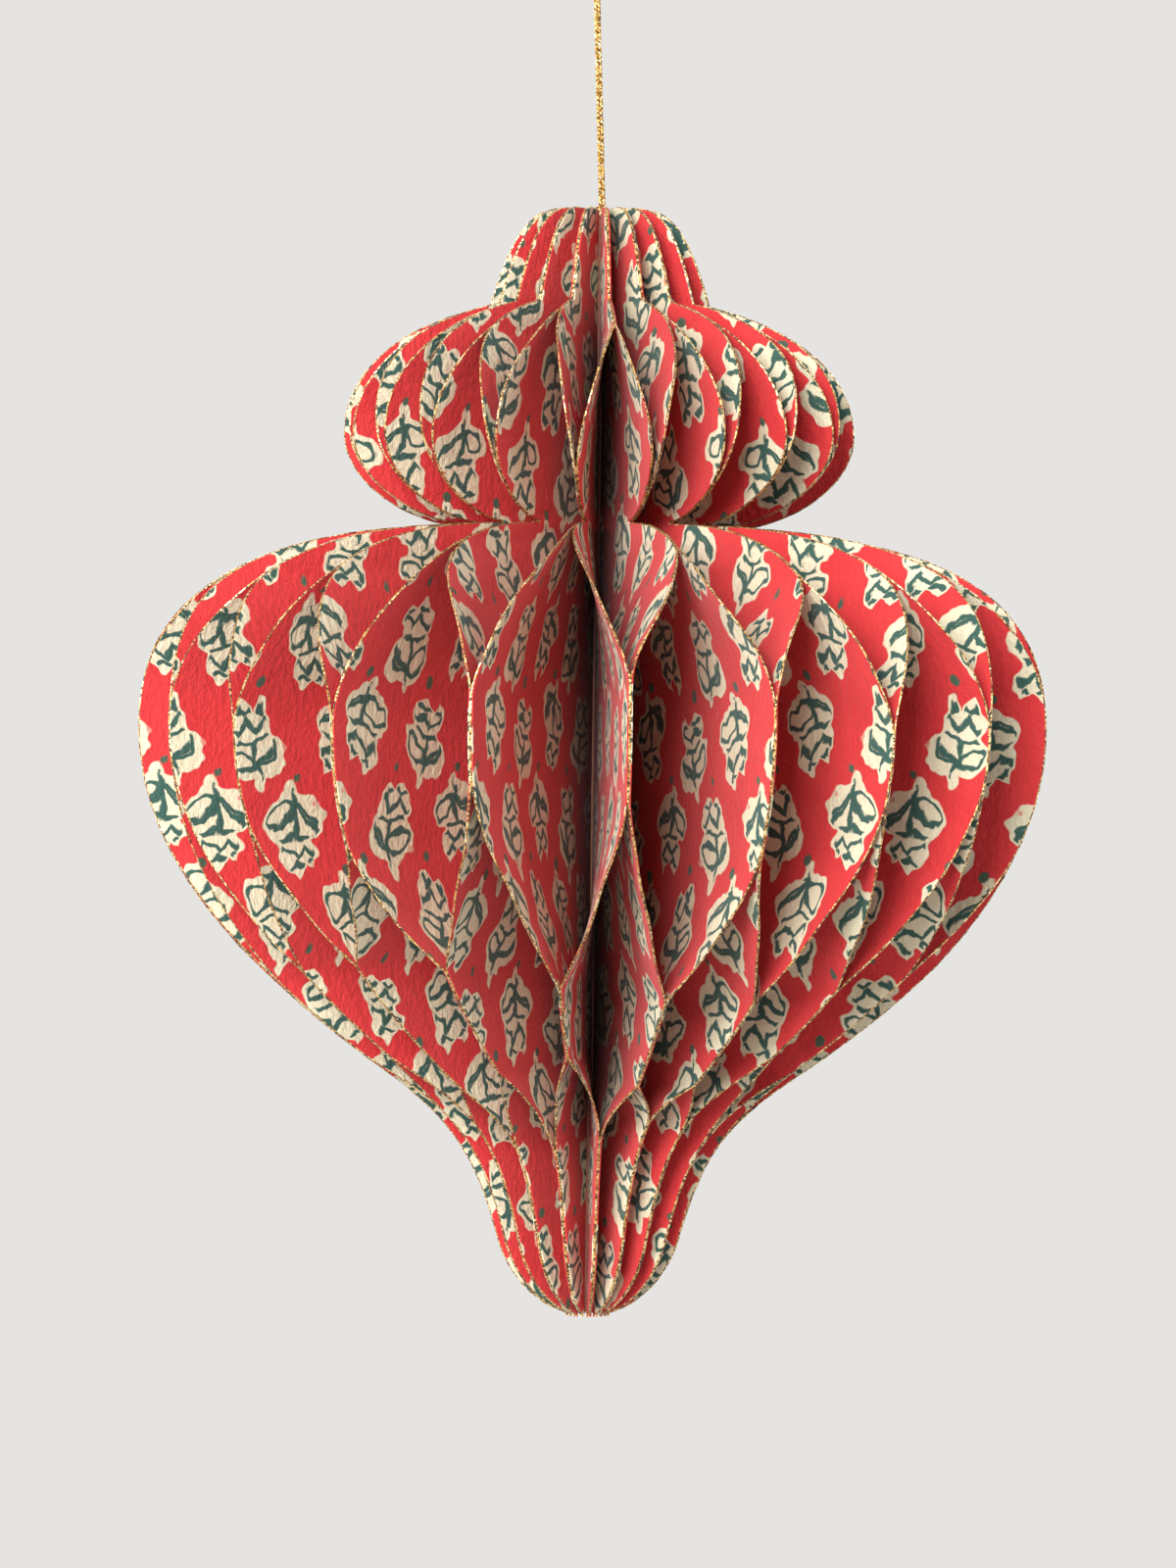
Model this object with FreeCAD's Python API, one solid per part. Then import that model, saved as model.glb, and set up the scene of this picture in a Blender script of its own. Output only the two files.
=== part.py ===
"""Honeycomb paper ornament in the shape of a finial: forty die-cut leaves of printed paper.

The leaves stand round a glued spine and are glued to each other in turn, at the knob, the belly and the tail
on one side and at the neck and the hip on the other, so that they open into pointed cells. The ornament
hangs by a loop of thread, and the origin is where that loop bears on its hook. The paper body hangs below
it along -Z, and its front is towards -Y.
"""
import FreeCAD, Part
import math
import os

# All sizes are in millimetres, and heights of the body run down from the top edge of its leaves.

# The paper leaves and what binds them
leaf_count = 40
paper_thickness = 0.3
glue_film = 0.04
spine_swell = 0.6
spine_clearance = 0.05
spine_inset = 1.0

# The outline that every leaf is cut to
knob_top_radius = 6.0
knob_foot_radius = 14.6
knob_height = 12.8
upper_lobe_radius = 33.7
upper_lobe_rise = 16.8
upper_lobe_fall = 12.1
neck_radius = 18.9
neck_slot = 0.4
lower_lobe_radius = 60.1
lower_lobe_rise = 26.3
lower_lobe_fall = 44.9
waist_radius = 28.6
tail_height = 22.5
tail_radius = 12.1
tip_height = 10.5

# Where the leaves are glued to each other. Each row is one end of a glue spot: how far below the outline's
# station it lies, how far hand gluing moves it either way, how many times round the ring it does so, and the
# phase of that wave in degrees.
knob_end = (3.1, 1.8, 9, 141)
neck_start = (-2.5, 1.9, 5, 155)
neck_end = (4.4, 3.3, 4, 222)
belly_start = (-2.2, 3.2, 4, 260)
belly_end = (11.5, 5.0, 6, 198)
hip_start = (-12.0, 2.1, 3, 149)
hip_end = (-0.2, 2.5, 6, 198)
tail_start = (9.4, 2.7, 4, 356)

# The angle in degrees of the glued joint nearest the front. The joints stand unevenly round the ring by two
# waves, each a share of the pitch, a count round the ring and a phase in degrees.
front_joint_angle = 4.1
joint_waves = [(0.2, 2, -52), (0.17, 4, 122)]

# The hanging thread: a loop of two strands that ends in a knot at the top of the spine
thread_diameter = 0.45
strand_gap = 0.07
loop_turn = 35.0
thread_drop = 37.9
sideways_hang = 1.4
knot_radius = 1.1
knot_height = 1.6
knot_above_leaves = 0.9
knot_seam = 0.01
loop_foot_drop = 8.0
loop_hip_drop = 4.0
loop_shoulder_drop = 0.8
loop_width = 3.8
loop_crown_width = 1.6
bend_share = 0.45

# Heights of the outline's stations, down from the top edge of the leaves
foot_height = knob_height
upper_widest = foot_height + upper_lobe_rise
neck_top = upper_widest + upper_lobe_fall
neck_bottom = neck_top + neck_slot
lower_widest = neck_bottom + lower_lobe_rise
waist_level = lower_widest + lower_lobe_fall
tail_level = waist_level + tail_height
tip_level = tail_level + tip_height

pitch = 360.0 / leaf_count
# Glue swells the spine a little past the radius at which the leaves' back edges would touch all round
packed_radius = leaf_count * (paper_thickness + glue_film) / (2 * math.pi)
spine_radius = packed_radius + spine_swell
leaf_inner_radius = spine_radius + spine_clearance
strand_spacing = thread_diameter + strand_gap
slab_margin = 2.0
slab_outer_radius = max(knob_foot_radius, upper_lobe_radius, lower_lobe_radius, waist_radius) + slab_margin
body_axis = FreeCAD.Vector(sideways_hang, 0, 0)
leaf_top_z = -thread_drop


def outline_stretches():
    """The cut outline as cubic stretches from the top of the knob to the tip.

    Each row is the radius and height of the stretch's end, then its two handles. A handle is a share of the
    way across and a share of the way down the stretch.
    """
    return [
        (knob_foot_radius, foot_height, (0.51, 0.0), (0.77, 0.47)),
        (upper_lobe_radius, upper_widest, (0.60, 0.17), (1.0, 0.50)),
        (neck_radius, neck_top, (0.0, 0.59), (0.67, 1.0)),
        (neck_radius, neck_bottom, None, None),
        (lower_lobe_radius, lower_widest, (0.56, 0.03), (1.0, 0.25)),
        (waist_radius, waist_level, (0.0, 0.40), (0.44, 0.72)),
        (tail_radius, tail_level, (0.618, 0.30), (0.815, 0.51)),
        (0.0, tip_level, (0.14, 0.58), (0.55, 1.0)),
    ]


def outline_face():
    """The leaf's flat outline, from the axis outwards, in the XZ plane."""
    def point(radius, height):
        return FreeCAD.Vector(radius, 0, -height)

    radius, height = knob_top_radius, 0.0
    edges = [Part.LineSegment(point(0, 0), point(radius, height)).toShape()]
    for end_radius, end_height, first, last in outline_stretches():
        start, end = point(radius, height), point(end_radius, end_height)
        if first is None:
            edges.append(Part.LineSegment(start, end).toShape())
        else:
            curve = Part.BezierCurve()
            across, down = end_radius - radius, end_height - height
            curve.setPoles([
                start,
                point(radius + first[0] * across, height + first[1] * down),
                point(radius + last[0] * across, height + last[1] * down),
                end,
            ])
            edges.append(curve.toShape())
        radius, height = end_radius, end_height
    edges.append(Part.LineSegment(point(0, tip_level), point(0, 0)).toShape())
    return Part.Face(Part.Wire(edges))


def is_belly_joint(joint):
    """Every second joint is glued at the knob, belly and tail, and the others at the neck and hip."""
    return joint % 2 == 0


def ring_wave(joint, waves, phase):
    """A wave round the ring of joints, from -1 to 1."""
    return math.sin(2 * math.pi * waves * joint / leaf_count + math.radians(phase))


def joint_angle(joint):
    """The joint's angle about the axis in degrees, from the front towards +X, a little uneven round the ring."""
    uneven = sum(share * ring_wave(joint, waves, phase) for share, waves, phase in joint_waves)
    return front_joint_angle - pitch * joint + pitch * uneven


def glue_spots(belly_joint, neck_joint):
    """The leaf's glue spots from top to bottom: each one's first and last height, and its side.

    The side is -1 at the belly joint and +1 at the neck joint.
    """
    def height(station, spot_end, joint):
        below, spread, waves, phase = spot_end
        return station + below + spread * ring_wave(joint, waves, phase)

    return [
        (-slab_margin, height(foot_height, knob_end, belly_joint), -1),
        (height(neck_top, neck_start, neck_joint), height(neck_bottom, neck_end, neck_joint), 1),
        (height(lower_widest, belly_start, belly_joint), height(lower_widest, belly_end, belly_joint), -1),
        (height(waist_level, hip_start, neck_joint), height(waist_level, hip_end, neck_joint), 1),
        (height(waist_level, tail_start, belly_joint), tip_level + slab_margin, -1),
    ]


# How the leaf swings from one glue spot to the next: two handles, each a share of the swing and of the height
swing_handles = [
    ((0.40, 0.20), (1.0, 0.60)),
    ((0.25, 0.30), (0.90, 0.62)),
    ((0.10, 0.38), (0.60, 0.78)),
    ((0.25, 0.25), (1.0, 0.60)),
]


def leaf_sections(belly_joint, neck_joint):
    """The leaf's course down its height, as lists of (side, height) poles: two for a glue spot, four between."""
    spots = glue_spots(belly_joint, neck_joint)
    courses = []
    for number, (first, last, side) in enumerate(spots):
        if number:
            before_height, before_side = spots[number - 1][1:]
            swing, fall = side - before_side, first - before_height
            start_handle, end_handle = swing_handles[number - 1]
            courses.append([
                (before_side, before_height),
                (before_side + start_handle[0] * swing, before_height + start_handle[1] * fall),
                (before_side + end_handle[0] * swing, before_height + end_handle[1] * fall),
                (side, first),
            ])
        courses.append([(side, first), (side, last)])
    return courses


def leaf(number, outline):
    """One leaf, a wavy sheet with straight level lines, cut to the outline.

    A level line lies along a glued joint's plane at a glue spot, half a glue film to the leaf's own side.
    """
    joints = (number, number + 1)
    angles = [joint_angle(joint) for joint in joints]
    if is_belly_joint(joints[0]):
        belly_joint, neck_joint, toward_neck = joints[0], joints[1] % leaf_count, -1
    else:
        belly_joint, neck_joint, toward_neck = joints[1] % leaf_count, joints[0], 1
    middle = sum(angles) / 2
    half_swing = math.radians(abs(angles[0] - angles[1]) / 2)
    courses = leaf_sections(belly_joint, neck_joint)
    film_offset = (paper_thickness + glue_film) / 2 / math.cos(half_swing)
    half_sheet = paper_thickness / 2 / math.cos(half_swing)

    def section(radius):
        reach = radius * math.tan(half_swing) - film_offset

        def edge(course, face_side):
            poles = [FreeCAD.Vector(radius, toward_neck * side * reach + face_side * half_sheet, -height)
                     for side, height in course]
            if len(poles) == 2:
                return Part.LineSegment(*poles).toShape()
            curve = Part.BezierCurve()
            curve.setPoles(poles)
            return curve.toShape()

        down = [edge(course, 1) for course in courses]
        up = [edge(course[::-1], -1) for course in courses[::-1]]
        bottom = Part.LineSegment(down[-1].Vertexes[-1].Point, up[0].Vertexes[0].Point).toShape()
        top = Part.LineSegment(up[-1].Vertexes[-1].Point, down[0].Vertexes[0].Point).toShape()
        return down + [bottom] + up + [top]

    inner, outer = section(leaf_inner_radius), section(slab_outer_radius)
    faces = [Part.makeRuledSurface(inner_edge, outer_edge) for inner_edge, outer_edge in zip(inner, outer)]
    faces += [Part.Face(Part.Wire(inner)), Part.Face(Part.Wire(outer))]
    shell = Part.makeShell(faces)
    shell.sewShape()
    slab = Part.Solid(shell)
    if slab.Volume < 0:
        slab.reverse()
    width = 2 * (slab_outer_radius * math.tan(half_swing) + paper_thickness)
    cutter = outline.extrude(FreeCAD.Vector(0, width, 0))
    cutter.translate(FreeCAD.Vector(0, -width / 2, 0))
    blank = slab.common(cutter)
    # The front faces -Y, and joint angles grow from there towards +X
    blank.rotate(FreeCAD.Vector(0, 0, 0), FreeCAD.Vector(0, 0, 1), middle - 90)
    blank.translate(body_axis + FreeCAD.Vector(0, 0, leaf_top_z))
    return blank


def spine():
    """The hardened bead of glue that the leaves' straight back edges stand in."""
    length = tip_level - 2 * spine_inset
    foot = body_axis + FreeCAD.Vector(0, 0, leaf_top_z - spine_inset - length)
    return Part.makeCylinder(spine_radius, length, foot)


def knot():
    """The thread's knot, a ball flattened above and below, seated on the spine's top end."""
    top_z = leaf_top_z + knot_above_leaves
    seat_z = leaf_top_z - spine_inset
    centre = body_axis + FreeCAD.Vector(0, 0, top_z - knot_height / 2)
    ball = Part.makeSphere(knot_radius, centre)
    slab = Part.makeBox(4 * knot_radius, 4 * knot_radius, top_z - seat_z,
                        FreeCAD.Vector(centre.x - 2 * knot_radius, centre.y - 2 * knot_radius, seat_z))
    stem = Part.makeCylinder(knot_radius / 2, top_z - seat_z, FreeCAD.Vector(centre.x, centre.y, seat_z))
    return ball.common(slab).fuse(stem).removeSplitter()


def thread_route():
    """The loop's centreline points, from the knot up one strand, over the crown and down the other."""
    knot_top = leaf_top_z + knot_above_leaves + knot_seam
    half_loop = [
        (-strand_spacing / 2, knot_top),
        (-strand_spacing / 2, -loop_foot_drop),
        (-loop_width / 2, -loop_hip_drop),
        (-loop_width / 2, -loop_shoulder_drop),
        (-loop_crown_width / 2, thread_diameter / 2),
    ]
    points = half_loop + [(-across, height) for across, height in half_loop[::-1]]
    turned = math.radians(loop_turn)
    route = []
    for across, height in points:
        lean = sideways_hang * height / knot_top
        route.append(FreeCAD.Vector(across * math.cos(turned) + lean, across * math.sin(turned), height))
    return route


def thread():
    """A round strand along the route's straight runs, joined by arcs that take up a share of the shorter run."""
    route = thread_route()
    edges, at = [], route[0]
    for before, corner, after in zip(route, route[1:], route[2:]):
        inwards, outwards = (before - corner), (after - corner)
        shorter = min(inwards.Length, outwards.Length)
        inwards.normalize()
        outwards.normalize()
        turn = math.pi - inwards.getAngle(outwards)
        setback = bend_share * shorter
        radius = setback / math.tan(turn / 2)
        start, end = corner + inwards * setback, corner + outwards * setback
        towards_centre = inwards + outwards
        towards_centre.normalize()
        bulge = corner + towards_centre * (radius / math.cos(turn / 2) - radius)
        edges += [Part.LineSegment(at, start).toShape(), Part.Arc(start, bulge, end).toShape()]
        print(f"thread arc radius {radius:.2f} mm, turn {math.degrees(turn):.0f} degrees")
        at = end
    edges.append(Part.LineSegment(at, route[-1]).toShape())
    path = Part.Wire(edges)
    direction = route[1] - route[0]
    section = Part.Wire(Part.Circle(route[0], direction, thread_diameter / 2).toShape())
    tube = path.makePipeShell([section], True, False)
    expected = math.pi * thread_diameter ** 2 / 4 * path.Length
    print(f"thread length {path.Length:.2f} mm, volume {tube.Volume:.3f} of {expected:.3f} mm3")
    return tube


os.makedirs("parts", exist_ok=True)
leaf_outline = outline_face()
for leaf_number in range(leaf_count):
    leaf(leaf_number, leaf_outline).exportStep(f"parts/leaf_{leaf_number + 1:02d}.step")
spine().exportStep("parts/glued_spine.step")
knot().exportStep("parts/thread_knot.step")
thread().exportStep("parts/hanging_thread.step")
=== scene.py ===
"""Looks of the honeycomb paper ornament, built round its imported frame.

In metres, with +Z up and the front to -Y.
"""
import math

import bpy
import numpy as np
from mathutils import Matrix, Vector


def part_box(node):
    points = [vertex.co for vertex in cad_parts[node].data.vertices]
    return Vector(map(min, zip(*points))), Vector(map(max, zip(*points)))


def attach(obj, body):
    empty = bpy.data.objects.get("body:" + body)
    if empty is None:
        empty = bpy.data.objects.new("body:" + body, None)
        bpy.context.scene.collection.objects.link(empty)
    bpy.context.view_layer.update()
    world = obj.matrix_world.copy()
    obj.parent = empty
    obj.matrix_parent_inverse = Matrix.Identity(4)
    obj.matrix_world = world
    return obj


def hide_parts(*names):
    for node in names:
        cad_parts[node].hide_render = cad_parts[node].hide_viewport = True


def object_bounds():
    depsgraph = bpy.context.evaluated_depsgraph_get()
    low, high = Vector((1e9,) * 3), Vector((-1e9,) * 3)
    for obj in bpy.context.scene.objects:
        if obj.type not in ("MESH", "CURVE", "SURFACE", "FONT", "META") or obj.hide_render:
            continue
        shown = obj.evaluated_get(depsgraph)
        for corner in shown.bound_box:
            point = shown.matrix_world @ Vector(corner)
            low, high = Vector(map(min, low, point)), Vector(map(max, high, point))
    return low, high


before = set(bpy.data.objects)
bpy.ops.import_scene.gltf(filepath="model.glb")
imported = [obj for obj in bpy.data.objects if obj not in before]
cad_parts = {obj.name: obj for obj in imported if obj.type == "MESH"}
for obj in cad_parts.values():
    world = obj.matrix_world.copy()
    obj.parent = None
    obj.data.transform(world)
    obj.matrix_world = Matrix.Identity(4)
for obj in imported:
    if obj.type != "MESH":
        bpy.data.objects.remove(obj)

cad_low, cad_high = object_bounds()
mm = 0.001


# ---------------------------------------------------------------------------------------------------------
# The surround: a pale floor well below the hanging ornament, which fades into an even pale surround. The main
# soft lamp stands in front, a little to the left, with weaker ones at both sides, and one behind the ornament
# that stands for what a pale wall sends back.
# ---------------------------------------------------------------------------------------------------------
class Flow:
    """What runs between two shader nodes. Arithmetic on it adds Math nodes, and node() adds any other."""

    def __init__(self, tree, socket=None):
        self.tree, self.socket = tree, socket

    def node(self, kind, values=(), output=0, **settings):
        """A new node: its settings first, then its sockets' values or links. Gives one of its outputs."""
        made = self.tree.nodes.new("ShaderNode" + kind)
        for name, setting in settings.items():
            if name == "stops":
                for number, (place, colour) in enumerate(setting):
                    ramp = made.color_ramp.elements
                    stop = ramp[number] if number < 2 else ramp.new(place)
                    stop.position, stop.color = place, colour
            else:
                setattr(made, name, setting)
        for key, value in (values.items() if isinstance(values, dict) else enumerate(values)):
            if isinstance(value, Flow):
                self.tree.links.new(value.socket, made.inputs[key])
            else:
                made.inputs[key].default_value = value
        return Flow(self.tree, made.outputs[output])

    def twin(self, output):
        """Another output of the node that this one comes from."""
        return Flow(self.tree, self.socket.node.outputs[output])

    def math(self, operation, *others, clamp=False):
        return self.node("Math", (self, *others), operation=operation, use_clamp=clamp)

    def vector(self, operation, *others, output=0):
        return self.node("VectorMath", (self, *others), output, operation=operation)

    def __add__(self, other):
        return self.math("ADD", other)

    def __mul__(self, other):
        return self.math("MULTIPLY", other)

    def __sub__(self, other):
        return self.math("SUBTRACT", other)

    def __rsub__(self, other):
        return self.node("Math", (other, self), operation="SUBTRACT")

    __radd__, __rmul__ = __add__, __mul__

    def blend(self, first, second):
        """The first colour where this is 0 and the second where it is 1."""
        return self.node("Mix", {"Factor": self, "A": first, "B": second}, "Result", data_type="RGBA")


def shader(name, world=None):
    """A new material's or the world's empty node tree, as a Flow, and the shader that its output shows."""
    owner = world or bpy.data.materials.new(name)
    owner.use_nodes = True
    tree = owner.node_tree
    tree.nodes.clear()
    end = tree.nodes.new("ShaderNodeOutputWorld" if world else "ShaderNodeOutputMaterial")
    return owner, Flow(tree), lambda shown: tree.links.new(shown.socket, end.inputs["Surface"])


def shows_surround(flow):
    """1 for the rays that show the pale surround, which come from the camera, off gloss or through glass, and
    0 for those that only light the ornament."""
    kinds = [flow.node("LightPath", output=f"Is {kind} Ray") for kind in ("Camera", "Glossy", "Transmission")]
    return kinds[0].math("MAXIMUM", kinds[1]).math("MAXIMUM", kinds[2])


surround_colour = (0.79, 0.775, 0.755, 1)
lamp_white = (1.0, 0.985, 0.965, 1)

world, sky, show = shader("surround", bpy.context.scene.world or bpy.data.worlds.new("surround"))
bpy.context.scene.world = world
light = sky.node("Background", {"Color": lamp_white, "Strength": 0.25})
backdrop = sky.node("Background", {"Color": surround_colour, "Strength": 1.0})
show(sky.node("MixShader", (shows_surround(sky), light, backdrop)))

floor_drop, floor_reach = 0.30, 20.0
floor_z = cad_low[2] - floor_drop
floor_mesh = bpy.data.meshes.new("floor")
floor_mesh.from_pydata(
    [(x, y, floor_z) for x, y in ((-floor_reach, -floor_reach), (floor_reach, -floor_reach),
                                  (floor_reach, floor_reach), (-floor_reach, floor_reach))],
    [], [(0, 1, 2, 3)])
floor = bpy.data.objects.new("floor", floor_mesh)
bpy.context.scene.collection.objects.link(floor)
material, flow, show = shader("pale floor")
# The floor turns into the surround between about 0.5 and 1.3 m from the middle.
ground = flow.node("TexCoord", output="Object").vector("MULTIPLY", (1.0, 1.0, 0.0))
far = (ground.vector("LENGTH", output="Value") * 1.2 - 0.6).math("MAXIMUM", 0.0, clamp=True)
matt = flow.node("BsdfDiffuse", {"Color": (0.56, 0.55, 0.54, 1)})
even = flow.node("Emission", {"Color": surround_colour, "Strength": 1.0})
show(flow.node("MixShader", (far * shows_surround(flow), matt, even)))
floor_mesh.materials.append(material)


def soft_lamp(name, place, aim, size, power):
    """A square area lamp at a place that shines at a point."""
    lamp = bpy.data.lights.new(name, "AREA")
    lamp.shape, lamp.size, lamp.energy, lamp.color = "SQUARE", size, power, lamp_white[:3]
    holder = bpy.data.objects.new(name, lamp)
    holder.location = place
    holder.rotation_mode = "QUATERNION"
    holder.rotation_quaternion = (Vector(aim) - Vector(place)).to_track_quat("-Z", "Y")
    bpy.context.scene.collection.objects.link(holder)


middle = ((cad_low[0] + cad_high[0]) / 2, (cad_low[1] + cad_high[1]) / 2, (cad_low[2] + cad_high[2]) / 2)
soft_lamp("front", (-0.46, -1.40, 0.42), middle, 0.7, 29.0)
soft_lamp("left", (-1.10, -0.96, 0.30), middle, 0.7, 9.0)
soft_lamp("right", (1.05, -0.95, 0.20), middle, 0.9, 4.5)
soft_lamp("wall bounce", (0.0, 1.20, 0.10), middle, 1.0, 10.0)

# The view is level with the middle of the lower lobe and turned a touch about its own axis.
view_distance, view_height = 0.755, 0.208
view_aside, view_level, view_roll = 0.55 * mm, -113.8 * mm, math.radians(0.76)
camera = bpy.data.cameras.new("camera")
camera.sensor_width = 36.0
camera.lens = camera.sensor_width * view_distance / view_height
camera.clip_start, camera.clip_end = 0.01, 100.0
camera_holder = bpy.data.objects.new("camera", camera)
camera_holder.matrix_world = (
    Matrix.Translation((view_aside, -view_distance, view_level))
    @ Matrix.Rotation(math.radians(90), 4, "X") @ Matrix.Rotation(view_roll, 4, "Z"))
bpy.context.scene.collection.objects.link(camera_holder)
bpy.context.scene.camera = camera_holder
bpy.context.scene.view_settings.view_transform = "Standard"


# ---------------------------------------------------------------------------------------------------------
# The leaves: forty half outlines die-cut from block-printed handmade cotton paper, 0.3 mm thick, standing
# round the spine. Each is glued to one neighbour at the knob, belly and tail and to the other at the neck
# and hip, and bows from one to the other between.
# ---------------------------------------------------------------------------------------------------------
spine_low, spine_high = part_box("glued_spine")
axis = np.array([(spine_low[0] + spine_high[0]) / 2, (spine_low[1] + spine_high[1]) / 2])
spine_inset, spine_clearance = 1.0 * mm, 0.05 * mm
leaf_top = spine_high[2] + spine_inset
back_edge = (spine_high[0] - spine_low[0]) / 2 + spine_clearance
leaf_names = sorted(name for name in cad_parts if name.startswith("leaf_"))
leaf_count = len(leaf_names)
paper, glue_film, buckle = 0.3 * mm, 0.04 * mm, 0.16 * mm

foot = 12.8 * mm
upper_widest = foot + 16.8 * mm
neck_top = upper_widest + 12.1 * mm
neck_bottom = neck_top + 0.4 * mm
lower_widest = neck_bottom + 26.3 * mm
waist = lower_widest + 44.9 * mm
tail = waist + 22.5 * mm
tip = tail + 10.5 * mm
knob_top_radius = 6.0 * mm
outline_stretches = [
    (14.6 * mm, foot, (0.51, 0.0), (0.77, 0.47)),
    (33.7 * mm, upper_widest, (0.60, 0.17), (1.0, 0.50)),
    (18.9 * mm, neck_top, (0.0, 0.59), (0.67, 1.0)),
    (18.9 * mm, neck_bottom, (0.3, 0.3), (0.7, 0.7)),
    (60.1 * mm, lower_widest, (0.56, 0.03), (1.0, 0.25)),
    (28.6 * mm, waist, (0.0, 0.40), (0.44, 0.72)),
    (12.1 * mm, tail, (0.618, 0.30), (0.815, 0.51)),
    (0.0, tip, (0.14, 0.58), (0.55, 1.0)),
]


def cubic(start, first, last, end, share):
    """The cubic curve (1-t)^3 a + 3(1-t)^2 t b + 3(1-t) t^2 c + t^3 d through four poles, at shares t."""
    share = share[:, None]
    rest = 1 - share
    poles = [np.asarray(pole, float) for pole in (start, first, last, end)]
    return (rest**3 * poles[0] + 3 * rest**2 * share * poles[1]
            + 3 * rest * share**2 * poles[2] + share**3 * poles[3])


def cut_outline(step):
    """Radius and height of points about a step apart along the cut edge, from the knob's top to the tip.

    Each stretch is a cubic curve whose handles are shares of the way across and down it.
    """
    at, rows = np.array([knob_top_radius, 0.0]), [np.array([[knob_top_radius, 0.0]])]
    for end_radius, end_height, first, last in outline_stretches:
        end = np.array([end_radius, end_height])
        run = end - at
        count = max(2, math.ceil(np.linalg.norm(run) * 1.1 / step))
        rows.append(cubic(at, at + run * first, at + run * last, end, np.linspace(0, 1, count + 1)[1:]))
        at = end
    outline = np.concatenate(rows)
    outline[:, 0] = np.maximum(outline[:, 0], back_edge + 0.02 * mm)
    return outline


def ring_wave(joint, waves, phase):
    """A sine wave round the ring of joints, from -1 to 1, with its phase in degrees."""
    return math.sin(2 * math.pi * waves * joint / leaf_count + math.radians(phase))


def joint_angle(joint):
    """The glued joint's angle from the front towards +X, in radians: the even pitch and two fitted waves."""
    uneven = 0.2 * ring_wave(joint, 2, -52) + 0.17 * ring_wave(joint, 4, 122)
    return math.radians(4.1 - 360 / leaf_count * (joint - uneven))


def swing(heights, belly_joint, neck_joint):
    """Which joint the leaf lies at by height, -1 the belly's and +1 the neck's, by cubic curves between.

    Each end of a glue spot moves from joint to joint on its own wave round the ring. The waves are fitted to
    the cells near the front, to stand for uneven gluing. The rest of the ring only follows them.
    """
    def level(station, below, spread, waves, phase, joint):
        return station + (below + spread * ring_wave(joint, waves, phase)) * mm

    spots = [
        (-5 * mm, level(foot, 3.1, 1.8, 9, 141, belly_joint), -1),
        (level(neck_top, -2.5, 1.9, 5, 155, neck_joint), level(neck_bottom, 4.4, 3.3, 4, 222, neck_joint), 1),
        (level(lower_widest, -2.2, 3.2, 4, 260, belly_joint),
         level(lower_widest, 11.5, 5.0, 6, 198, belly_joint), -1),
        (level(waist, -12.0, 2.1, 3, 149, neck_joint), level(waist, -0.2, 2.5, 6, 198, neck_joint), 1),
        (level(waist, 9.4, 2.7, 4, 356, belly_joint), tip + 5 * mm, -1),
    ]
    handles = [((0.40, 0.20), (1.0, 0.60)), ((0.25, 0.30), (0.90, 0.62)),
               ((0.10, 0.38), (0.60, 0.78)), ((0.25, 0.25), (1.0, 0.60))]
    course = [[(spots[0][2], spots[0][0])]]
    for above, below, (first, last) in zip(spots, spots[1:], handles):
        start, end = np.array([above[2], above[1]]), np.array([below[2], below[0]])
        run = end - start
        course.append(cubic(start, start + run * first, start + run * last, end, np.linspace(0, 1, 60)))
    course = np.concatenate(course + [[(spots[-1][2], spots[-1][1])]])
    return np.interp(heights, course[:, 1], course[:, 0])


class Leaf:
    """One leaf's place: which joints it runs between, and points on it by radius, height and face."""

    def __init__(self, number):
        joints = (number, number + 1)
        self.toward_neck = -1 if number % 2 == 0 else 1
        belly, neck = joints if number % 2 == 0 else joints[::-1]
        self.belly, self.neck = belly % leaf_count, neck % leaf_count
        angles = [joint_angle(joint) for joint in joints]
        self.heading = sum(angles) / 2 - math.pi / 2
        self.half_swing = abs(angles[0] - angles[1]) / 2
        self.number = number
        self.out = np.array([math.cos(self.heading), math.sin(self.heading), 0.0])
        self.side = np.array([-math.sin(self.heading), math.cos(self.heading), 0.0])

    def points(self, radius, height, face):
        """Points on a level straight line that swings between the joints, on a face from -1 to 1 across the
        thickness, with a slight buckle of the free paper.

        The buckle is two sines down the sheet, about 26 and 14 mm long, that lean with the radius and shift
        from leaf to leaf. It dies out at the glue spots and the spine.
        """
        lie = swing(height, self.belly, self.neck)
        offset = (paper + glue_film) / 2 / math.cos(self.half_swing)
        across = self.toward_neck * lie * (radius * math.tan(self.half_swing) - offset)
        loose = (1 - lie**2) * (radius / (40 * mm)) ** 1.5
        wave = (np.sin(height / (4.1 * mm) + 1.7 * self.number + radius / (19 * mm))
                + 0.6 * np.sin(height / (2.3 * mm) - radius / (6.5 * mm) + 2.9 * self.number))
        across = across + buckle * loose * wave + face * paper / 2
        flat = radius[..., None] * self.out + across[..., None] * self.side
        flat[..., :2] += axis
        flat[..., 2] = leaf_top - height
        return flat


def band(rows, columns, closed):
    """The faces of a grid of points whose rows run round a ring if closed, as four point numbers each."""
    across = np.arange(columns if closed else columns - 1)
    down = np.arange(rows - 1)[:, None] * columns
    after = (across + 1) % columns
    return np.stack([down + across, down + after, down + columns + after, down + columns + across],
                    axis=-1).reshape(-1, 4)


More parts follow.
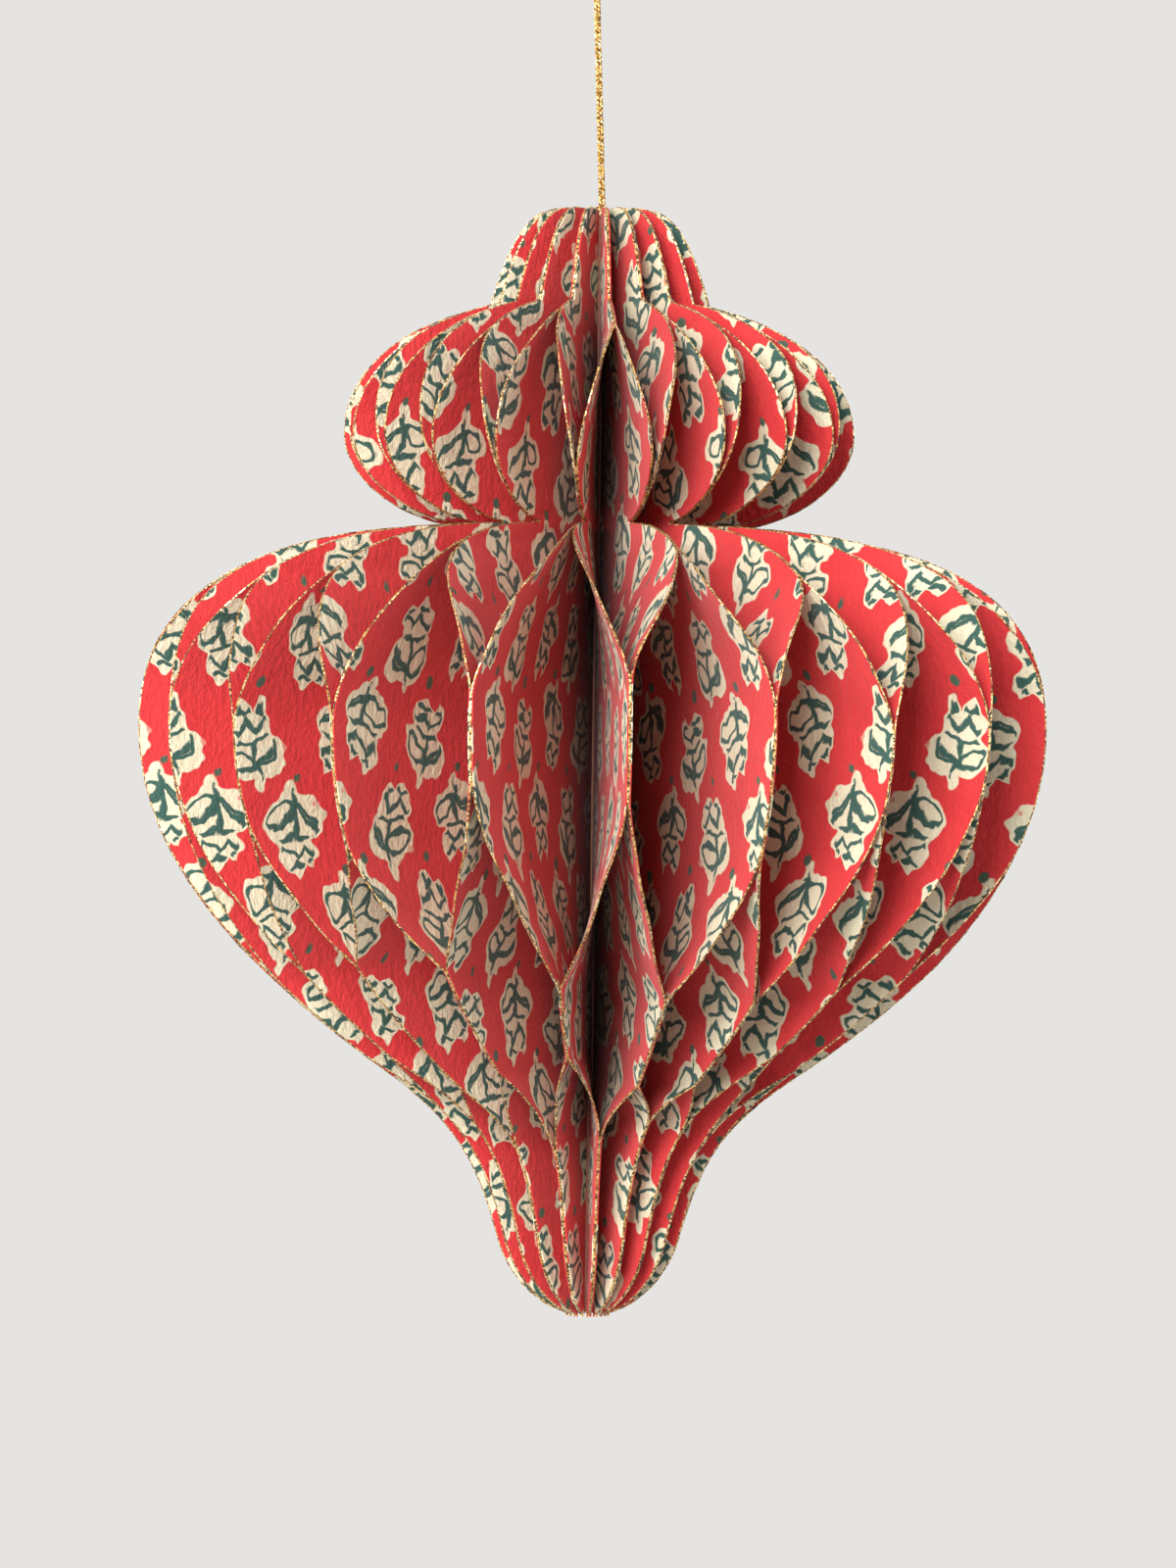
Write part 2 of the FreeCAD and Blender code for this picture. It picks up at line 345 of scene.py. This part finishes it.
def build(name, points, quads, material, marks=None):
    """A piece of the ornament from points and quads turned to face outwards, which rides on the one body.

    The way that they face is the sign of the volume that they close, summed over tetrahedra from one point.
    """
    points = np.asarray(points, float).reshape(-1, 3)
    a, b, c, d = ((points - points[0])[quads[:, k]] for k in range(4))
    volume = (np.cross(a, b) * c).sum() + (np.cross(a, c) * d).sum()
    quads = np.ascontiguousarray(quads if volume > 0 else quads[:, ::-1])
    mesh = bpy.data.meshes.new(name)
    mesh.vertices.add(len(points))
    mesh.vertices.foreach_set("co", points.astype(np.float32).ravel())
    mesh.loops.add(quads.size)
    mesh.loops.foreach_set("vertex_index", quads.astype(np.int32).ravel())
    mesh.polygons.add(len(quads))
    mesh.polygons.foreach_set("loop_start", np.arange(0, quads.size, 4, dtype=np.int32))
    for attribute, values in (marks or {}).items():
        mesh.attributes.new(attribute, "FLOAT_VECTOR", "POINT").data.foreach_set(
            "vector", np.asarray(values, np.float32).ravel())
    mesh.update(calc_edges=True)
    mesh.polygons.foreach_set("use_smooth", np.ones(len(quads), bool))
    mesh.set_sharp_from_angle(angle=math.radians(50))
    mesh.materials.append(material)
    piece = bpy.data.objects.new(name, mesh)
    bpy.context.scene.collection.objects.link(piece)
    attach(piece, "root")
    return piece


print_pitch = (14.0, 23.4, 1.0)


def printed_paper():
    """Red ground with cream sprigs drawn in teal, on soft crinkled paper.

    The pattern is a staggered repeat worked out in the sheet's own millimetres. Every second column of sprigs
    stands on its head, and each sprig is tilted and mirrored by chance. Each figure is a distance in
    millimetres, and a short ramp over its edge makes its mask.
    """
    material, flow, show = shader("block-printed cotton paper")

    def noise(place, scale, detail, output="Fac", **more):
        return flow.node("TexNoise", {"Vector": place, "Scale": scale, "Detail": detail, **more}, output)

    def within(distance, soft=0.14):
        return (distance * (-1 / soft)).math("ADD", 0.5, clamp=True)

    def parts(colour_or_vector, kind):
        first = flow.node(kind, [colour_or_vector], 0)
        return first, first.twin(1)

    carried_sheet = flow.node("Attribute", output="Vector", attribute_name="sheet")
    sheet = carried_sheet.vector("MULTIPLY", (1.0, 1.0, 0.0))
    shade = flow.node("SeparateXYZ", [carried_sheet], 2)
    drift = noise(sheet, 0.13, 0.0, "Color")
    place = sheet.vector("ADD", drift.vector("MULTIPLY_ADD", (3.0, 3.0, 0.0), (-1.5, -1.5, 0.0)))
    half = tuple(size / 2 for size in print_pitch)
    even = place.vector("ADD", half).vector("SNAP", print_pitch)
    odd = place.vector("SNAP", print_pitch).vector("ADD", half)
    nearer = place.vector("DISTANCE", odd, output="Value").math(
        "LESS_THAN", place.vector("DISTANCE", even, output="Value"))
    centre = flow.node("Mix", {"Factor": nearer, 4: even, 5: odd}, 1, data_type="VECTOR")
    chance, mirror_chance = parts(flow.node("TexWhiteNoise", {
        "Vector": centre.vector("MULTIPLY_ADD", (1.0, 1.0, 0.0), (0.3, 0.3, 0.5))}, "Color"), "SeparateColor")
    column = flow.node("SeparateXYZ", [centre], 0)
    wobble = noise(sheet, 0.42, 1.0, "Color")
    steady = place.vector("SUBTRACT", centre)
    off = steady.vector("ADD", wobble.vector("MULTIPLY_ADD", (2.2, 2.2, 0.0), (-1.1, -1.1, 0.0)))
    off_x, off_y = parts(off, "SeparateXYZ")
    upright = 1 - 2 * (column * (1 / print_pitch[0]) + 0.25).math("FLOOR").math("FLOORED_MODULO", 2.0)
    mirrored = 1 - 2 * mirror_chance.math("GREATER_THAN", 0.5)
    tilt = (chance - 0.5) * 0.55
    figure_width, figure_height = 0.84, 0.98
    x = (off_x + tilt * off_y) * mirrored * figure_width
    y = (off_y - tilt * off_x) * upright * figure_height
    sprig = flow.node("CombineXYZ", (x, y, 0.0))
    beside = x.math("ABSOLUTE")

    def oval(centre_x, centre_y, reach_x, reach_y):
        """Roughly how far outside an oval, from the length of the point scaled to a unit circle."""
        scaled = sprig.vector("MULTIPLY_ADD", (1 / reach_x, 1 / reach_y, 0.0),
                              (-centre_x / reach_x, -centre_y / reach_y, 0.0))
        return (scaled.vector("LENGTH", output="Value") - 1) * min(reach_x, reach_y)

    def zigzag(level, rise, start, width, reach):
        """How far from a zigzag that climbs by the rise over each width, within a reach of the middle."""
        line = (x + start).math("PINGPONG", width).math("MULTIPLY_ADD", rise / width, level)
        steep = math.hypot(1, rise / width)
        return ((y - line).math("ABSOLUTE") * (1 / steep)).math("MAXIMUM", beside - reach)

    # The cream figure: a bulb with a crown above it, points along its top and a stalk below.
    bulb, crown = oval(0.0, -2.1, 3.95, 3.2), oval(0.1, 2.5, 2.75, 3.1)
    body = flow.node("Math", (bulb, crown, 1.1), operation="SMOOTH_MIN")
    points = y - (x + 0.4).math("PINGPONG", 1.5).math("MULTIPLY_ADD", 0.9, 3.9)
    body = body.math("MAXIMUM", points)
    body = flow.node("Math", (body, oval(0.35, -5.5, 0.7, 1.3), 0.4), operation="SMOOTH_MIN")
    # The teal lines in it: a stem, a loop and a sweep beside it, a branch, a cup and two zigzags above.
    stem = beside.math("MAXIMUM", (y + 2.75).math("ABSOLUTE") - 2.5)
    along = sprig.vector("DOT_PRODUCT", (0.44, 0.25, 0.0), output="Value") - 0.17
    over = sprig.vector("DOT_PRODUCT", (-0.48, 0.76, 0.0), output="Value") + 2.85
    loop = flow.node("CombineXYZ", (along, over, 0.0)).vector("LENGTH", output="Value")
    loop = ((loop - 1).math("ABSOLUTE") * 1.35).math("MAXIMUM", 0.0 - x)
    sweep = (sprig.vector("DISTANCE", (0.3, -0.4, 0.0), output="Value") - 3.45).math("ABSOLUTE").math(
        "MAXIMUM", x).math("MAXIMUM", y + 0.7)
    branch = sprig.vector("DOT_PRODUCT", (0.62, 0.78, 0.0), output="Value") + 2.9
    branch = branch.math("ABSOLUTE").math("MAXIMUM", (x + 1.2).math("ABSOLUTE") - 1.1)
    cup = (sprig.vector("DISTANCE", (0.0, 5.4, 0.0), output="Value") - 5.55).math("ABSOLUTE").math(
        "MAXIMUM", beside - 2.7)
    lines = stem.math("MINIMUM", loop).math("MINIMUM", sweep).math("MINIMUM", branch).math("MINIMUM", cup)
    lines = lines.math("MINIMUM", zigzag(1.2, 1.7, 0.7, 1.35, 2.1))
    lines = lines.math("MINIMUM", zigzag(3.5, 1.0, 1.6, 1.3, 1.7))
    grain = noise(sheet, 3.4, 2.0, Roughness=0.65)
    line_mask = within(lines - 0.14 - 0.36 * grain) * within(body + 0.35)
    dot_mask = within(steady.vector("DISTANCE", (0.0, -7.0, 0.0), output="Value") - 0.42 - 0.6 * grain)

    mottle = noise(sheet, 0.22, 1.0)
    fade = mottle * 0.6 + grain * 0.4
    red = fade.blend((0.60, 0.024, 0.032, 1), (0.76, 0.056, 0.058, 1))
    cream = fade.blend((0.71, 0.65, 0.44, 1), (0.89, 0.85, 0.64, 1))
    teal = fade.blend((0.020, 0.072, 0.062, 1), (0.066, 0.160, 0.128, 1))
    moss = fade.blend((0.050, 0.085, 0.050, 1), (0.085, 0.150, 0.105, 1))
    colour = within(body).blend(red, cream)
    colour = line_mask.blend(colour, teal)
    colour = dot_mask.blend(colour, moss)
    colour = shade.blend(colour, (0.085, 0.012, 0.010, 1))
    crinkle = noise(sheet.vector("MULTIPLY", (1.25, 0.75, 1.0)), 1.0, 3.0, Roughness=0.62)
    relief = crinkle * 0.78 + grain * 0.22
    bump = flow.node("Bump", {"Height": relief, "Strength": 0.7, "Distance": 0.0007})
    show(flow.node("BsdfPrincipled", {
        "Base Color": colour, "Roughness": 0.70 + 0.18 * grain, "Normal": bump, "Specular IOR Level": 0.25,
        "Sheen Weight": 0.12, "Sheen Roughness": 0.5}))
    return material


leaf_paper = printed_paper()
leaves = [Leaf(number) for number in range(leaf_count)]
leaf_step, leaf_columns = 0.95 * mm, 13
leaf_edge = cut_outline(leaf_step)
# Shade painted into the paper's colour, because light alone leaves the depth of the cells too pale. It is full
# at the back edge and gone about 18 mm from the axis, and fades in as the outline widens from 16 to 30 mm.
shade_reach, shade_start, shade_from, shade_full = 16, 1.12, 16, 30


def sheet_shift(number):
    """How far the print lies from its usual place on this leaf's sheet, across and down, in millimetres."""
    return print_pitch[0] * ((0.382 * number) % 1), 1.2 * math.sin(2.3 * number)


for name, leaf in zip(leaf_names, leaves):
    share = np.linspace(0, 1, leaf_columns)
    radius = back_edge + (leaf_edge[:, :1] - back_edge) * share
    height = np.repeat(leaf_edge[:, 1:], leaf_columns, axis=1)
    ring = np.concatenate([leaf.points(radius, height, 1), leaf.points(radius, height, -1)[:, ::-1]], axis=1)
    rows, columns = ring.shape[:2]
    quads = band(rows, columns, closed=True)
    step = np.arange(leaf_columns - 1)
    lid = np.stack([step, step + 1, columns - 2 - step, columns - 1 - step], axis=1)
    quads = np.concatenate([quads, lid[:, ::-1], lid + (rows - 1) * columns])
    shift = sheet_shift(leaf.number)
    wide = np.clip((leaf_edge[:, :1] / mm - shade_from) / (shade_full - shade_from), 0, 1)
    shade = np.clip(shade_start - radius / (shade_reach * mm), 0, 1) * wide
    sheet = np.stack([radius / mm + shift[0], height / mm + shift[1], shade], axis=-1)
    sheet = np.concatenate([sheet, sheet[:, ::-1]], axis=1)
    piece = build(name + "_paper", ring, quads, leaf_paper, {"sheet": sheet})
    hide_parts(name)


# ---------------------------------------------------------------------------------------------------------
# The edging: a thin uneven bead of glue full of gold glitter, drawn along the cut edge of every leaf.
# ---------------------------------------------------------------------------------------------------------
def carried(path, reference, radii, sides=6, closed=False):
    """A round section carried along a path: rings about each point across its tangent, of given radii.

    The ring's two directions are the reference's part across the tangent, and its cross with the tangent.
    Gives the rings' points and the quads, with flat ends where the path isn't closed.
    """
    ends = np.roll(path, -1, 0) - np.roll(path, 1, 0) if closed else np.gradient(path, axis=0)
    tangent = ends / np.linalg.norm(ends, axis=1)[:, None]
    reference = np.broadcast_to(reference, path.shape)
    first = reference - (reference * tangent).sum(1)[:, None] * tangent
    first = first / np.linalg.norm(first, axis=1)[:, None]
    second = np.cross(tangent, first)
    turn = np.linspace(0, 2 * math.pi, sides, endpoint=False)
    rings = (path[:, None] + np.asarray(radii)[..., None, None] * np.ones((len(path), 1, 1))
             * (np.cos(turn)[None, :, None] * first[:, None] + np.sin(turn)[None, :, None] * second[:, None]))
    quads = band(len(path), sides, closed=True)
    last = (len(path) - 1) * sides
    ring = np.arange(sides)
    if closed:
        quads = np.concatenate([quads, np.stack([last + ring, last + (ring + 1) % sides,
                                                 (ring + 1) % sides, ring], axis=1)])
    else:
        pairs = np.arange(sides // 2 - 1)
        lid = np.stack([pairs, pairs + 1, sides - 2 - pairs, sides - 1 - pairs], axis=1)
        quads = np.concatenate([quads, lid[:, ::-1], lid + last])
    return rings.reshape(-1, 3), quads


def glitter():
    """Gold flakes set every way in clear glue: each small cell has its own tone, gloss and slope."""
    material, flow, show = shader("gold glitter")
    place = flow.node("TexCoord", output="Object")
    flake = flow.node("TexVoronoi", {"Vector": place, "Scale": 4000.0}, "Color", feature="F1")
    tone = flow.node("SeparateColor", [flake], 0)
    other = tone.twin(1)
    patch = flow.node("TexNoise", {"Vector": place, "Scale": 330.0, "Detail": 2.0}, "Fac")
    colour = flow.node("ValToRGB", [tone * 0.60 + patch * 0.40], 0, stops=[
        (0.30, (0.070, 0.022, 0.010, 1)), (1.0, (1.0, 0.95, 0.75, 1)), (0.46, (0.30, 0.12, 0.030, 1)),
        (0.58, (0.72, 0.43, 0.12, 1)), (0.74, (0.95, 0.78, 0.40, 1))])
    bump = flow.node("Bump", {"Height": other, "Strength": 1.0, "Distance": 0.00008})
    show(flow.node("BsdfPrincipled", {
        "Base Color": colour, "Metallic": (tone * 1.4).math("SUBTRACT", 0.45, clamp=True),
        "Roughness": 0.22 + 0.3 * other, "Normal": bump}))
    return material


edge_glitter = glitter()
bead_step, top_run_points = 0.45 * mm, 14
bead_edge = cut_outline(bead_step)
# The bead's least radius and what its lumps add, in mm. At a glued joint it moves towards the neighbour's by a
# share of half the paper's thickness, and the power keeps that move close to the joint.
bead_least, bead_lumps = 0.07, 0.14
joint_shift, joint_sharpness = 0.75, 6
for name, leaf in zip(leaf_names, leaves):
    top_run = np.linspace(back_edge, knob_top_radius, top_run_points, endpoint=False)
    radius = np.concatenate([top_run, bead_edge[:, 0]])
    height = np.concatenate([np.zeros_like(top_run), bead_edge[:, 1]])
    lie = swing(height, leaf.belly, leaf.neck)
    face = joint_shift * leaf.toward_neck * np.sign(lie) * np.abs(lie) ** joint_sharpness
    path = leaf.points(radius, height, face)
    chance = np.random.default_rng(leaf.number)
    lumps = np.convolve(chance.random(len(path) + 2), [0.25, 0.5, 0.25], "valid")
    bead_radius = (bead_least + bead_lumps * lumps) * mm
    points, quads = carried(path, leaf.side, bead_radius)
    build(name.replace("leaf", "edging"), points, quads, edge_glitter)


# ---------------------------------------------------------------------------------------------------------
# The spine: the bead of hardened glue that the back edges of the leaves stand in, seen only deep in the
# cells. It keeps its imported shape.
# ---------------------------------------------------------------------------------------------------------
def dried_glue():
    """Brown glue, reddened like the paper round it, with faint streaks down its length."""
    material, flow, show = shader("dried glue")
    place = flow.node("TexCoord", output="Object").vector("MULTIPLY", (900.0, 900.0, 120.0))
    streak = flow.node("TexNoise", {"Vector": place, "Scale": 1.0, "Detail": 3.0}, "Fac")
    colour = streak.blend((0.20, 0.035, 0.025, 1), (0.42, 0.16, 0.09, 1))
    bump = flow.node("Bump", {"Height": streak, "Strength": 0.5, "Distance": 0.0002})
    show(flow.node("BsdfPrincipled", {
        "Base Color": colour, "Roughness": 0.45 + 0.25 * streak, "Normal": bump}))
    return material


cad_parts["glued_spine"].material_slots[0].material = dried_glue()


# ---------------------------------------------------------------------------------------------------------
# The hanging thread: a metallic yarn of two twisted plies, doubled into a loop that hangs on its hook, with
# both ends in a small knot on the spine's top end.
# ---------------------------------------------------------------------------------------------------------
def gold_yarn():
    """Thin gold foil wound on a core: small facets that are bright, plain or dark by chance, and glints."""
    material, flow, show = shader("gold metallic yarn")
    place = flow.node("TexCoord", output="Object")
    facet = flow.node("SeparateColor", [
        flow.node("TexVoronoi", {"Vector": place, "Scale": 4200.0}, "Color", feature="F1")], 0)
    slope = facet.twin(1)
    patch = flow.node("TexNoise", {"Vector": place, "Scale": 1500.0, "Detail": 1.0}, "Fac")
    colour = flow.node("ValToRGB", [facet * 0.6 + patch * 0.45], 0, stops=[
        (0.28, (0.16, 0.060, 0.008, 1)), (0.82, (1.0, 0.95, 0.74, 1)), (0.44, (0.56, 0.28, 0.040, 1)),
        (0.56, (0.86, 0.55, 0.13, 1)), (0.70, (0.98, 0.80, 0.36, 1))])
    bump = flow.node("Bump", {"Height": slope, "Strength": 1.0, "Distance": 0.00008})
    show(flow.node("BsdfPrincipled", {"Base Color": colour, "Metallic": 0.55 + 0.3 * slope,
                                      "Roughness": 0.25 + 0.25 * slope, "Normal": bump}))
    return material


yarn = gold_yarn()
thread_turn = math.radians(35)
knot_low, knot_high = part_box("thread_knot")
knot_seam = 0.01 * mm
knot_top = knot_high[2] + knot_seam
half_loop = [(-0.26, knot_top / mm), (-0.26, -12.4), (-0.26, -8.0), (-1.9, -4.0), (-1.9, -0.8), (-0.8, 0.225)]
loop_points = [
    (across * mm * math.cos(thread_turn) + axis[0] * height * mm / knot_top,
     across * mm * math.sin(thread_turn), height * mm)
    for across, height in half_loop + [(-across, height) for across, height in half_loop[::-1]]]

route = bpy.data.curves.new("thread_route", "CURVE")
route.dimensions = "3D"
spline = route.splines.new("NURBS")
spline.points.add(len(loop_points) - 1)
for control, place in zip(spline.points, loop_points):
    control.co = (*place, 1.0)
spline.order_u = 3
spline.use_endpoint_u = True
spline.resolution_u = 24
route_holder = bpy.data.objects.new("thread_route", route)
route_mesh = bpy.data.meshes.new_from_object(route_holder)
centreline = np.array([tuple(vertex.co) for vertex in route_mesh.vertices])
bpy.data.meshes.remove(route_mesh)
bpy.data.objects.remove(route_holder)
bpy.data.curves.remove(route)


def evenly(path, step):
    """The path again with points a step apart along its length."""
    along = np.concatenate([[0], np.cumsum(np.linalg.norm(np.diff(path, axis=0), axis=1))])
    at = np.linspace(0, along[-1], math.ceil(along[-1] / step) + 1)
    return np.stack([np.interp(at, along, path[:, k]) for k in range(3)], axis=1), at


# Both ends run on a little way down into the knot.
yarn_step = 0.07 * mm
tucked = np.array([0.0, 0.0, 0.7 * mm])
tucked_line = np.concatenate([[centreline[0] - tucked], centreline, [centreline[-1] - tucked]])
yarn_line, along = evenly(tucked_line, yarn_step)
loop_normal = np.array([-math.sin(thread_turn), math.cos(thread_turn), 0.0])
tangent = np.gradient(yarn_line, axis=0)
tangent /= np.linalg.norm(tangent, axis=1)[:, None]
across = np.cross(tangent, loop_normal)
ply_radius, ply_offset, ply_pitch = 0.14 * mm, 0.115 * mm, 1.15 * mm
points, quads = [], []
for ply in range(2):
    turn = 2 * math.pi * along / ply_pitch + math.pi * ply
    path = yarn_line + ply_offset * (np.cos(turn)[:, None] * across + np.sin(turn)[:, None] * loop_normal)
    ply_points, ply_quads = carried(path, loop_normal, ply_radius, sides=8)
    quads.append(ply_quads + sum(len(p) for p in points))
    points.append(ply_points)
thread = build("thread_loop", np.concatenate(points), np.concatenate(quads), yarn)
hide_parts("hanging_thread")

# The knot is the curve (sin t + 2 sin 2t, cos t - 2 cos 2t, -sin 3t), flattened into its seat.
t = np.linspace(0, 2 * math.pi, 160, endpoint=False)
knot_curve = np.stack([np.sin(t) + 2 * np.sin(2 * t), np.cos(t) - 2 * np.cos(2 * t), -np.sin(3 * t)], axis=1)
knot_centre = np.array([axis[0], axis[1], (knot_low[2] + knot_high[2]) / 2])
knot_scale, knotted_radius = np.array([0.27, 0.27, 0.54]), 0.24 * mm
knot_path = knot_centre + knot_curve * knot_scale * mm
points, quads = carried(knot_path, np.array([0.0, 0.0, 1.0]), knotted_radius, sides=8, closed=True)
knot = build("knotted_ends", points, quads, yarn)
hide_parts("thread_knot")
